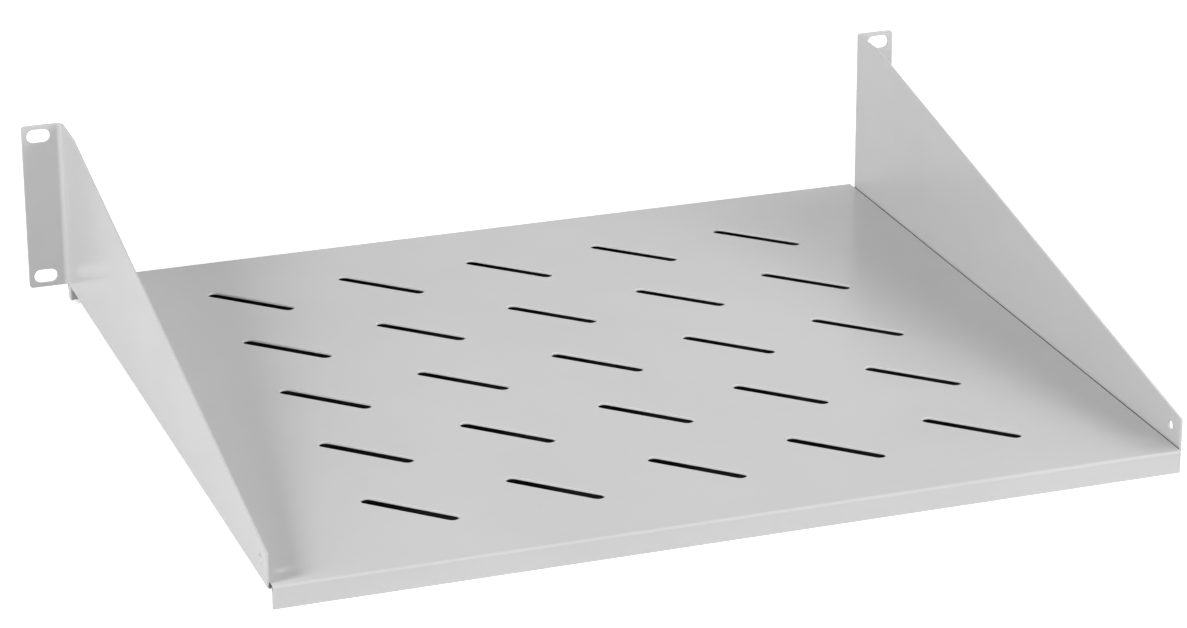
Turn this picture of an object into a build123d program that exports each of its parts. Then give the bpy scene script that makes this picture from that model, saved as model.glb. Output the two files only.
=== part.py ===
from build123d import *
import os

# Rack shelf, 19 inch, two rack units high, for equipment that has no rack ears of its own.
# Three folded pieces of sheet steel: a vented tray, and two side brackets that end in rack ears.
# X runs across the rack, Y from the rear of the shelf to its front, and Z up. The origin is
# midway between the four rack slots, on the rear faces of the ears, which meet the rack rails.

# Sheet metal
sheet = 1.2
lip_bend_radius = 0.2  # inside radius of the lips' tight folds
ear_bend_radius = 2.5  # inside radius of the fold from gusset to ear

# Rack ears, to the 19 inch rack standard: slots 465.1 apart across and 76.2 apart up the rack
ear_span = 482.6
ear_width = 20.4  # from the gusset's outer face to the ear's outer edge
ear_height = 88.0
ear_corner_radius = 2.0
rack_slot_length = 12.0
rack_slot_width = 7.0
rack_slot_inset = 8.75  # slot centre, in from the ear's outer edge
rack_slot_end_distance = 5.9  # slot centre, from the ear's upper or lower end

# Tray
tray_depth = 400.0
tray_front = 4.0  # front face of the front lip, ahead of the ears' rear faces
floor_rise = 0.8  # top of the floor, above the lower ends of the ears
lip_height = 11.2

# Vent slots in the tray's floor
vent_length = 50.0
vent_width = 6.5
vent_angle = -45.0
vent_pitch = 69.5
vent_columns = 5
vent_rows = 5

# Side brackets
side_gap = 0.5  # open seam between the tray's edge and the gusset
bracket_inset = 3.0  # rear end of the gusset, ahead of the rear lip's face
bracket_rear_height = 14.6  # rear end of the gusset, above the floor
level_length = 28.0  # stretch of the top edge that stays level behind the ear
rear_corner_radius = 1.0
flange_width = 18.0
flange_setback = 6.0  # front end of the lower flange, behind the ears' rear faces
side_hole_diameter = 4.5
side_hole_inset = 10.0  # from the rear end of the gusset
side_hole_height = 8.0  # above the floor

# Tab at the gusset's front lower corner, which covers the end of the front lip
tab_rear = 4.0  # rear edge of the tab, behind the ears' rear faces
tab_slant = 4.0  # how far its front edge slopes back to its foot
tab_drop = 8.0  # below the lower end of the ear
tab_relief = 0.8  # slit between the ear and the tab

# Spot welds that join each flange to the floor, seen as shallow marks under the flange
weld_count = 6
weld_pitch = 70.0
weld_diameter = 5.0
weld_depth = 0.15

# Places that follow from the sizes above
floor_top = floor_rise - ear_height / 2
floor_bottom = floor_top - sheet
ear_top = ear_height / 2
ear_bottom = -ear_height / 2
rack_slot_span = ear_span - 2 * rack_slot_inset
rack_slot_rise = ear_height - 2 * rack_slot_end_distance
gusset_outside = ear_span / 2 - ear_width
gusset_inside = gusset_outside - sheet
tray_width = 2 * (gusset_inside - side_gap)
tray_middle = tray_front - tray_depth / 2
shelf_rear = tray_front - tray_depth
vent_middle = shelf_rear / 2
bracket_rear = shelf_rear + bracket_inset
bracket_rear_top = floor_top + bracket_rear_height
flange_bottom = floor_bottom - sheet
flange_middle_x = flange_width / 2 - gusset_inside
flange_middle_y = (bracket_rear - flange_setback) / 2

# Tray: lip, floor and lip are one inverted channel, with the vents cut through its floor.
with BuildPart() as shelf_tray:
    with BuildSketch(Plane.YZ) as channel:
        with Locations((tray_middle, floor_top)):
            Rectangle(tray_depth, lip_height, align=(Align.CENTER, Align.MAX))
        fillet(channel.vertices().group_by(Axis.Y)[-1], lip_bend_radius + sheet)
        with Locations((tray_middle, floor_bottom)):
            Rectangle(
                tray_depth - 2 * sheet,
                lip_height - sheet,
                align=(Align.CENTER, Align.MAX),
                mode=Mode.SUBTRACT,
            )
        fillet(channel.vertices().group_by(Axis.Y)[-2], lip_bend_radius)
    extrude(amount=tray_width / 2, both=True)

    with BuildSketch(Plane.XY.offset(floor_top)):
        with Locations((0, vent_middle)):
            with GridLocations(vent_pitch, vent_pitch, vent_columns, vent_rows):
                SlotOverall(vent_length, vent_width, rotation=vent_angle)
    extrude(amount=-2 * sheet, mode=Mode.SUBTRACT)

# Left side bracket: gusset, ear, lower flange and front tab, folded from one sheet.
with BuildPart() as left_side_bracket:
    # Gusset and ear in plan, with the fold between them
    with BuildSketch(Plane.XY.offset(ear_bottom)) as plan:
        with Locations((-gusset_outside, sheet)):
            Rectangle(sheet, sheet - bracket_rear, align=(Align.MIN, Align.MAX))
        with Locations((-ear_span / 2, 0)):
            Rectangle(ear_span / 2 - gusset_inside, sheet, align=(Align.MIN, Align.MIN))
        fold_outside = plan.vertices().group_by(Axis.Y)[-1].sort_by(Axis.X)[-1]
        fillet(fold_outside, ear_bend_radius + sheet)
        fold_inside = plan.vertices().sort_by_distance((-gusset_outside, 0))[0]
        fillet(fold_inside, ear_bend_radius)
    extrude(amount=ear_height)

    # Gusset and lower flange seen from the rear, with the fold that passes under the tray's edge
    with BuildSketch(Plane.XZ.offset(flange_setback)) as foot:
        with Locations((-gusset_outside, flange_bottom)):
            Rectangle(sheet, bracket_rear_height, align=(Align.MIN, Align.MIN))
            Rectangle(sheet + flange_width, sheet, align=(Align.MIN, Align.MIN))
        fold_outside = foot.vertices().sort_by_distance((-gusset_outside, flange_bottom))[0]
        fillet(fold_outside, side_gap + sheet)
        fold_inside = foot.vertices().sort_by_distance((-gusset_inside, floor_bottom))[0]
        fillet(fold_inside, side_gap)
    extrude(amount=-bracket_rear - flange_setback)

    # Front tab, cut free of the ear by a slit
    with BuildSketch(Plane.YZ.offset(-gusset_outside)):
        with BuildLine():
            Polyline(
                (-tab_rear, floor_top),
                (-tab_rear, ear_bottom - tab_drop),
                (tray_front - tab_slant, ear_bottom - tab_drop),
                (tray_front, ear_bottom - tab_relief),
                (-ear_bend_radius, ear_bottom - tab_relief),
                (-ear_bend_radius, floor_top),
                close=True,
            )
        make_face()
    extrude(amount=sheet)

    # Sloping top edge of the gusset
    with BuildSketch(Plane.YZ):
        with BuildLine():
            Polyline(
                (-level_length, ear_top),
                (bracket_rear, bracket_rear_top),
                (bracket_rear, ear_top),
                close=True,
            )
        make_face()
    extrude(amount=-ear_span / 2, mode=Mode.SUBTRACT)
    rear_corner = left_side_bracket.edges().filter_by(Axis.X).sort_by_distance(
        (-gusset_outside, bracket_rear, bracket_rear_top)
    )[0]
    fillet(rear_corner, rear_corner_radius)

    # Hole near the rear end of the gusset
    with BuildSketch(Plane.YZ.offset(-gusset_outside)):
        with Locations((bracket_rear + side_hole_inset, floor_top + side_hole_height)):
            Circle(side_hole_diameter / 2)
    extrude(amount=sheet, mode=Mode.SUBTRACT)

    # Rack slots and rounded corners of the ear
    with BuildSketch(Plane.XZ.offset(-sheet)):
        with Locations((-rack_slot_span / 2, 0)):
            with GridLocations(0, rack_slot_rise, 1, 2):
                SlotOverall(rack_slot_length, rack_slot_width)
    extrude(amount=sheet, mode=Mode.SUBTRACT)
    ear_corners = left_side_bracket.edges().filter_by(Axis.Y).group_by(Axis.X)[0]
    fillet(ear_corners, ear_corner_radius)

    # Weld marks under the flange
    with BuildSketch(Plane.XY.offset(flange_bottom)):
        with Locations((flange_middle_x, flange_middle_y)):
            with GridLocations(0, weld_pitch, 1, weld_count):
                Circle(weld_diameter / 2)
    extrude(amount=weld_depth, mode=Mode.SUBTRACT)

# Right side bracket: the left one's mirror image.
with BuildPart() as right_side_bracket:
    add(mirror(left_side_bracket.part, about=Plane.YZ, mode=Mode.PRIVATE))

os.makedirs("parts", exist_ok=True)

shelf_tray.part.label = "shelf_tray"
export_step(shelf_tray.part, "parts/shelf_tray.step")

left_side_bracket.part.label = "left_side_bracket"
export_step(left_side_bracket.part, "parts/left_side_bracket.step")

right_side_bracket.part.label = "right_side_bracket"
export_step(right_side_bracket.part, "parts/right_side_bracket.step")
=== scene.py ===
# Rack shelf, 19 inch, two units high, in light grey powder coat, on a white studio floor.
from math import cos, radians, sin

import bpy
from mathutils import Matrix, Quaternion, Vector


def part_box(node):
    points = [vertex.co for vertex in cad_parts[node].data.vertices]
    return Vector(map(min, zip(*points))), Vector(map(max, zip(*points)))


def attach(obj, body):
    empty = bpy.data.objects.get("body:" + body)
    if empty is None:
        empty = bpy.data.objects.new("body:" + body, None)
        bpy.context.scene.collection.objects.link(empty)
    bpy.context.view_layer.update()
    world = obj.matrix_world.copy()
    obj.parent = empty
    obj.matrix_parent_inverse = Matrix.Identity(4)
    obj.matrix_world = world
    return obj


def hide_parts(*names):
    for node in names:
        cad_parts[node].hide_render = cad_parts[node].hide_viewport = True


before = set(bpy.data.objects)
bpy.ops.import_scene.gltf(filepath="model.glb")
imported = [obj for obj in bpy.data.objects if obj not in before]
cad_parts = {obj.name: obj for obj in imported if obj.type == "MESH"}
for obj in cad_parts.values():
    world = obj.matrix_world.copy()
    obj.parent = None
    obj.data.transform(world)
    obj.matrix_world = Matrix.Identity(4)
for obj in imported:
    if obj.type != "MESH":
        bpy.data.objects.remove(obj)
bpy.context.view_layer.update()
print("frame loaded:", ", ".join(sorted(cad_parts)))

scene = bpy.context.scene
mm = 0.001  # the scene is in metres
trayLow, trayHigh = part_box("shelf_tray")
shelfMiddle = (trayLow + trayHigh) / 2


# Camera, solved from the rack slots, the vents and the outline
cameraSetup = {
    "place": (-0.6186, -1.9604, 0.7084),
    "turn": -19.289,  # about Z, from looking along +Y
    "tilt": -21.248,  # from level
    "roll": -0.26,
    "focalPixels": 4084.8,
    "imageWidth": 1187,
}


def makeCamera(setup):
    data = bpy.data.cameras.new("studioCamera")
    data.sensor_width = 36
    data.lens = setup["focalPixels"] / setup["imageWidth"] * data.sensor_width
    data.clip_start, data.clip_end = 0.01, 100
    camera = bpy.data.objects.new("studioCamera", data)
    scene.collection.objects.link(camera)
    camera.location = setup["place"]
    camera.rotation_mode = "QUATERNION"
    turn = Quaternion((0, 0, 1), radians(setup["turn"]))
    tilt = Quaternion((1, 0, 0), radians(90 + setup["tilt"]))
    roll = Quaternion((0, 0, 1), radians(setup["roll"]))
    camera.rotation_quaternion = turn @ tilt @ roll
    scene.camera = camera


makeCamera(cameraSetup)
print("camera placed")


def linearColour(hexCode):
    channels = [int(hexCode[i:i + 2], 16) / 255 for i in (1, 3, 5)]
    return [c / 12.92 if c <= 0.04045 else ((c + 0.055) / 1.055) ** 2.4 for c in channels] + [1]


def addNode(tree, kind, settings=None, links=None):
    node = tree.nodes.new(kind)
    for name, value in (settings or {}).items():
        setattr(node, name, value)
    for name, value in (links or {}).items():
        socket = node.inputs[name]
        if isinstance(value, bpy.types.NodeSocket):
            tree.links.new(value, socket)
        else:
            socket.default_value = value
    return node


# 1 inside the box between two corners, and 0 outside it
def insideBox(tree, place, low, high):
    middle = [(a + b) / 2 for a, b in zip(low, high)]
    half = [(b - a) / 2 for a, b in zip(low, high)]
    offset = addNode(tree, "ShaderNodeVectorMath", {"operation": "SUBTRACT"}, {0: place, 1: middle})
    apart = addNode(tree, "ShaderNodeVectorMath", {"operation": "ABSOLUTE"}, {0: offset.outputs[0]})
    beyond = addNode(tree, "ShaderNodeVectorMath", {"operation": "SUBTRACT"}, {
        0: apart.outputs[0], 1: half})
    sides = addNode(tree, "ShaderNodeSeparateXYZ", links={0: beyond.outputs[0]})
    level = addNode(tree, "ShaderNodeMath", {"operation": "MAXIMUM"}, {
        0: sides.outputs[0], 1: sides.outputs[1]})
    farthest = addNode(tree, "ShaderNodeMath", {"operation": "MAXIMUM"}, {
        0: level.outputs[0], 1: sides.outputs[2]})
    return addNode(tree, "ShaderNodeMath", {"operation": "LESS_THAN"}, {
        0: farthest.outputs[0], 1: 0.0}).outputs[0]


def newMaterial(name):
    material = bpy.data.materials.new(name)
    material.use_nodes = True
    material.node_tree.nodes.clear()
    return material, material.node_tree


# Polyester powder coat, sprayed dry on sheet steel and baked. It melts into a closed film with
# a half gloss and a faint orange peel, and it thins out on the sheared edges.
powderCoat = {
    "colour": "#CDCDCD",
    "colourThick": "#D1D1D1",  # where the film is a little thicker
    "ventWallPaintedLight": "#F0F0F0",  # painted light: the vents' punched walls are drawn lighter, as if lit
    "seamPaintedShade": "#6E6E6E",  # painted shade: the seams beside the tray are drawn darker, as if shaded
    "roughness": (0.22, 0.26),
    "peelSize": 2.2 * mm,
    "peelDepth": 0.02 * mm,
    "grainSize": 1.0 * mm,  # real powder grain is 0.03 mm, drawn coarser so that it shows
    "grainDepth": 0.04 * mm,
    "cloudSize": 70 * mm,  # slow drift of the film's thickness
    "sheet": 1.2 * mm,
    "ventInset": 8 * mm,  # no vent comes nearer to the tray's outline
    "ventTop": 0.03 * mm,  # below the floor's top, where the vents' painted light begins
    "seamReach": (-0.1 * mm, 0.6 * mm),  # outwards from the tray's sides
    "seamTop": 0.1 * mm,  # below the floor's top, where the seams' painted shade begins
}


def makePowderCoat(setup):
    material, tree = newMaterial("powderCoatedSteel")
    place = addNode(tree, "ShaderNodeTexCoord").outputs["Object"]
    peel = addNode(tree, "ShaderNodeTexNoise", links={
        "Vector": place, "Scale": 1 / setup["peelSize"], "Detail": 1.0, "Roughness": 0.4})
    grain = addNode(tree, "ShaderNodeTexNoise", links={
        "Vector": place, "Scale": 1 / setup["grainSize"], "Detail": 1.0, "Roughness": 0.5})
    cloud = addNode(tree, "ShaderNodeTexNoise", links={
        "Vector": place, "Scale": 1 / setup["cloudSize"], "Detail": 3.0, "Roughness": 0.55})
    film = addNode(tree, "ShaderNodeMapRange", links={
        "Value": cloud.outputs["Fac"], "From Min": 0.3, "From Max": 0.7}).outputs["Result"]
    roughness = addNode(tree, "ShaderNodeMapRange", links={
        "Value": film, "To Min": setup["roughness"][1], "To Max": setup["roughness"][0]})

    # Below the floor's top, the tray's middle holds only the vents, and its sides only the seams
    top, bottom = trayHigh.z, trayHigh.z - setup["sheet"]
    inset = setup["ventInset"]
    # Mask for painted light: the vents' walls are drawn lighter, standing in for light falling on them
    ventPaintedLightMask = insideBox(tree, place, (trayLow.x + inset, trayLow.y + inset, bottom),
                        (trayHigh.x - inset, trayHigh.y - inset, top - setup["ventTop"]))
    zones = [(film, "colourThick"), (ventPaintedLightMask, "ventWallPaintedLight")]
    for side in (-1, 1):
        near, far = sorted(side * (trayHigh.x + reach) for reach in setup["seamReach"])
        # Mask for painted shade: the seams beside the tray are drawn darker, standing in for the shade
        # in the gaps
        seamPaintedShadeMask = insideBox(tree, place, (near, trayLow.y, bottom - setup["sheet"]),
                           (far, trayHigh.y, top - setup["seamTop"]))
        zones.append((seamPaintedShadeMask, "seamPaintedShade"))
    colour = linearColour(setup["colour"])
    for share, name in zones:
        colour = addNode(tree, "ShaderNodeMix", {"data_type": "RGBA"}, {
            0: share, 6: colour, 7: linearColour(setup[name])}).outputs[2]

    peelBump = addNode(tree, "ShaderNodeBump", links={
        "Strength": 1.0, "Distance": setup["peelDepth"], "Height": peel.outputs["Fac"]})
    grainBump = addNode(tree, "ShaderNodeBump", links={
        "Strength": 1.0, "Distance": setup["grainDepth"], "Height": grain.outputs["Fac"],
        "Normal": peelBump.outputs["Normal"]})
    surface = addNode(tree, "ShaderNodeBsdfPrincipled", links={
        "Base Color": colour, "Roughness": roughness.outputs["Result"],
        "Metallic": 0.0, "IOR": 1.55, "Normal": grainBump.outputs["Normal"]})
    addNode(tree, "ShaderNodeOutputMaterial", links={"Surface": surface.outputs["BSDF"]})
    return material


powderCoatMaterial = makePowderCoat(powderCoat)
print("powder coat mixed")


# The three folded pieces, each a copy of its CAD node with the coat's rounded edges
coatedSheet = {
    "mergeSize": 0.01 * mm,
    "flatAngle": 0.5,  # faces that differ by less are one flat face
    "edgeAngle": 45,  # sheared and punched edges turn by more than the folds' facets
    "edgeRadius": 0.25 * mm,
    "edgeSegments": 3,
    "smoothAngle": 40,
    "keptSharp": {  # from the middle, forward and up, where there is no room to round the edges
        "weldMarks": ((208 * mm, 213.5 * mm), (-400 * mm, 0), (-46 * mm, -45 * mm)),
        "flangeFront": ((219.1 * mm, 221 * mm), (-6.1 * mm, -5.9 * mm), (-46 * mm, -43.8 * mm)),
    },
}


def inZone(point, zone):
    return all(low < value < high for value, (low, high) in zip((abs(point.x), point.y, point.z), zone))


# Leaves only those of the selected edges selected that aren't in one of the zones
def keepSharp(mesh, zones):
    rounded = [
        edge for edge in mesh.edges if edge.select
        and not any(all(inZone(mesh.vertices[i].co, zone) for i in edge.vertices) for zone in zones)
    ]
    for part in (*mesh.vertices, *mesh.edges, *mesh.polygons):
        part.select = False
    for edge in rounded:
        edge.select = True


def coatPiece(nodeName, pieceName, setup):
    piece = bpy.data.objects.new(pieceName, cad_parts[nodeName].data.copy())
    piece.data.name = pieceName
    scene.collection.objects.link(piece)
    bpy.ops.object.select_all(action="DESELECT")
    piece.select_set(True)
    bpy.context.view_layer.objects.active = piece
    bpy.ops.object.mode_set(mode="EDIT")
    bpy.ops.mesh.select_mode(type="EDGE")
    bpy.ops.mesh.select_all(action="SELECT")
    bpy.ops.mesh.remove_doubles(threshold=setup["mergeSize"])
    bpy.ops.mesh.dissolve_degenerate(threshold=setup["mergeSize"])
    bpy.ops.mesh.dissolve_limited(angle_limit=radians(setup["flatAngle"]))
    bpy.ops.mesh.select_all(action="DESELECT")
    bpy.ops.mesh.edges_select_sharp(sharpness=radians(setup["edgeAngle"]))
    bpy.ops.object.mode_set(mode="OBJECT")
    keepSharp(piece.data, setup["keptSharp"].values())
    bpy.ops.object.mode_set(mode="EDIT")
    bpy.ops.mesh.bevel(
        offset=setup["edgeRadius"], segments=setup["edgeSegments"], affect="EDGES", loop_slide=False)
    bpy.ops.object.mode_set(mode="OBJECT")
    bpy.ops.object.shade_smooth_by_angle(angle=radians(setup["smoothAngle"]))
    weighting = piece.modifiers.new("flatFaceNormals", "WEIGHTED_NORMAL")
    weighting.keep_sharp = True
    bpy.ops.object.modifier_apply(modifier="flatFaceNormals")

    piece.data.materials.clear()
    piece.data.materials.append(powderCoatMaterial)
    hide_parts(nodeName)
    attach(piece, "root")
    return piece


for nodeName, pieceName in {
    "shelf_tray": "coated_tray",
    "left_side_bracket": "coated_left_bracket",
    "right_side_bracket": "coated_right_bracket",
}.items():
    coatPiece(nodeName, pieceName, coatedSheet)
    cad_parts[nodeName].data.materials[0] = powderCoatMaterial
print("sheet metal coated")


# White for the camera, also through glass, and as much of it as wanted in the reflections
def seenWhite(tree, reflected):
    rays = addNode(tree, "ShaderNodeLightPath")
    mirrored = addNode(tree, "ShaderNodeMath", {"operation": "MULTIPLY"}, {
        0: rays.outputs["Is Glossy Ray"], 1: reflected})
    direct = addNode(tree, "ShaderNodeMath", {"operation": "MAXIMUM"}, {
        0: rays.outputs["Is Camera Ray"], 1: rays.outputs["Is Transmission Ray"]})
    return addNode(tree, "ShaderNodeMath", {"operation": "MAXIMUM"}, {
        0: direct.outputs[0], 1: mirrored.outputs[0]}).outputs[0]


# White studio floor
studioFloor = {
    "size": 12,
    "level": trayLow.z,
    "colour": "#F2F2F2",
    "shade": "#808080",  # painted shade: the floor is drawn darker under the tray, where it is seen only through the vents
    "glowNear": 0.55,  # white added beside the shelf, which leaves its shadow
    "glowFar": 1.0,
    "fadeOut": 500 * mm,  # from the tray's outline, where the glow is at its full
    "fadeIn": (-16 * mm, -7 * mm),  # from the tray's open sides, where the painted shade gives way
    "lipShare": 6,  # the painted shade ends this many times closer to the lips, which stand on the floor
    "reflected": 0.25,  # share of the glow that shows in reflections, which see the lit floor too
}


def makeFloor(setup):
    bpy.ops.object.select_all(action="DESELECT")
    bpy.ops.mesh.primitive_plane_add(size=setup["size"], location=(0, 0, setup["level"]))
    floor = bpy.context.object
    floor.name = "studio_floor"

    material, tree = newMaterial("whiteFloorPaint")
    place = addNode(tree, "ShaderNodeTexCoord").outputs["Object"]
    fromMiddle = addNode(tree, "ShaderNodeVectorMath", {"operation": "SUBTRACT"}, {
        0: place, 1: shelfMiddle - floor.location})
    apart = addNode(tree, "ShaderNodeVectorMath", {"operation": "ABSOLUTE"}, {0: fromMiddle.outputs[0]})
    beyond = addNode(tree, "ShaderNodeVectorMath", {"operation": "SUBTRACT"}, {
        0: apart.outputs[0], 1: (trayHigh - trayLow) / 2})
    sides = addNode(tree, "ShaderNodeSeparateXYZ", links={0: beyond.outputs[0]})
    distance = addNode(tree, "ShaderNodeMath", {"operation": "MAXIMUM"}, {
        0: sides.outputs[0], 1: sides.outputs[1]})
    nearLips = addNode(tree, "ShaderNodeMath", {"operation": "MULTIPLY"}, {
        0: sides.outputs[1], 1: setup["lipShare"]})
    inward = addNode(tree, "ShaderNodeMath", {"operation": "MAXIMUM"}, {
        0: sides.outputs[0], 1: nearLips.outputs[0]})
    outside = addNode(tree, "ShaderNodeMapRange", links={
        "Value": inward.outputs[0], "From Min": setup["fadeIn"][0],
        "From Max": setup["fadeIn"][1]}).outputs["Result"]
    glow = addNode(tree, "ShaderNodeMapRange", links={
        "Value": distance.outputs[0], "From Min": 0.0, "From Max": setup["fadeOut"],
        "To Min": setup["glowNear"], "To Max": setup["glowFar"]})
    shown = addNode(tree, "ShaderNodeMath", {"operation": "MULTIPLY"}, {
        0: seenWhite(tree, setup["reflected"]), 1: outside})
    strength = addNode(tree, "ShaderNodeMath", {"operation": "MULTIPLY"}, {
        0: shown.outputs[0], 1: glow.outputs["Result"]})
    # Painted shade: the floor's colour turns darker under the tray
    colour = addNode(tree, "ShaderNodeMix", {"data_type": "RGBA"}, {
        0: outside, 6: linearColour(setup["shade"]), 7: linearColour(setup["colour"])})
    paint = addNode(tree, "ShaderNodeBsdfDiffuse", links={"Color": colour.outputs[2]})
    light = addNode(tree, "ShaderNodeEmission", links={"Strength": strength.outputs[0]})
    both = addNode(tree, "ShaderNodeAddShader", links={
        0: paint.outputs["BSDF"], 1: light.outputs["Emission"]})
    addNode(tree, "ShaderNodeOutputMaterial", links={"Surface": both.outputs["Shader"]})
    floor.data.materials.append(material)


makeFloor(studioFloor)
print("floor laid")


# Soft studio light: a white tent all round, and softboxes to the left, in front and to the right
studioLight = {
    "tent": 0.18,
    "distance": 2.6,  # of every softbox from the shelf's middle, in metres
    "reflected": 1.0,  # how bright the tent shows in reflections
    "shining": ("frontStrip", "rightSoftbox", "rearSoftbox"),  # the others' mirror images would burn out
    "softboxes": {  # bearing and height in degrees, size in metres, power in watts
        "leftSoftbox": {"bearing": -165, "height": 36, "size": (0.65, 0.65), "power": 27.5},
        "lowLeftSoftbox": {"bearing": -163, "height": 18, "size": (1.0, 0.8), "power": 15.8},
        "frontSoftbox": {"bearing": -60, "height": 15, "size": (1.2, 1.0), "power": 21},
        "frontStrip": {"bearing": -65, "height": 35, "size": (1.6, 0.5), "power": 6},
        "rightSoftbox": {"bearing": -20, "height": 30, "size": (1.2, 1.0), "power": 18},
        "rearSoftbox": {"bearing": 30, "height": 45, "size": (1.2, 1.0), "power": 10},
    },
}


def makeLight(setup):
    world = bpy.data.worlds.new("whiteTent")
    world.use_nodes = True
    tree = world.node_tree
    tree.nodes.clear()
    strength = addNode(tree, "ShaderNodeMath", {"operation": "MAXIMUM"}, {
        0: seenWhite(tree, setup["reflected"]), 1: setup["tent"]})
    tent = addNode(tree, "ShaderNodeBackground", links={
        "Color": linearColour("#FFFFFF"), "Strength": strength.outputs[0]})
    addNode(tree, "ShaderNodeOutputWorld", links={"Surface": tent.outputs["Background"]})
    scene.world = world

    for name, box in setup["softboxes"].items():
        data = bpy.data.lights.new(name, "AREA")
        data.shape = "RECTANGLE"
        data.size, data.size_y = box["size"]
        data.energy = box["power"]
        lamp = bpy.data.objects.new(name, data)
        scene.collection.objects.link(lamp)
        bearing, height = radians(box["bearing"]), radians(box["height"])
        towards = Vector((cos(bearing) * cos(height), sin(bearing) * cos(height), sin(height)))
        lamp.location = shelfMiddle + towards * setup["distance"]
        lamp.rotation_euler = towards.to_track_quat("Z", "Y").to_euler()
        lamp.visible_glossy = name in setup["shining"]


makeLight(studioLight)
scene.view_settings.view_transform = "Standard"
print("studio lit")
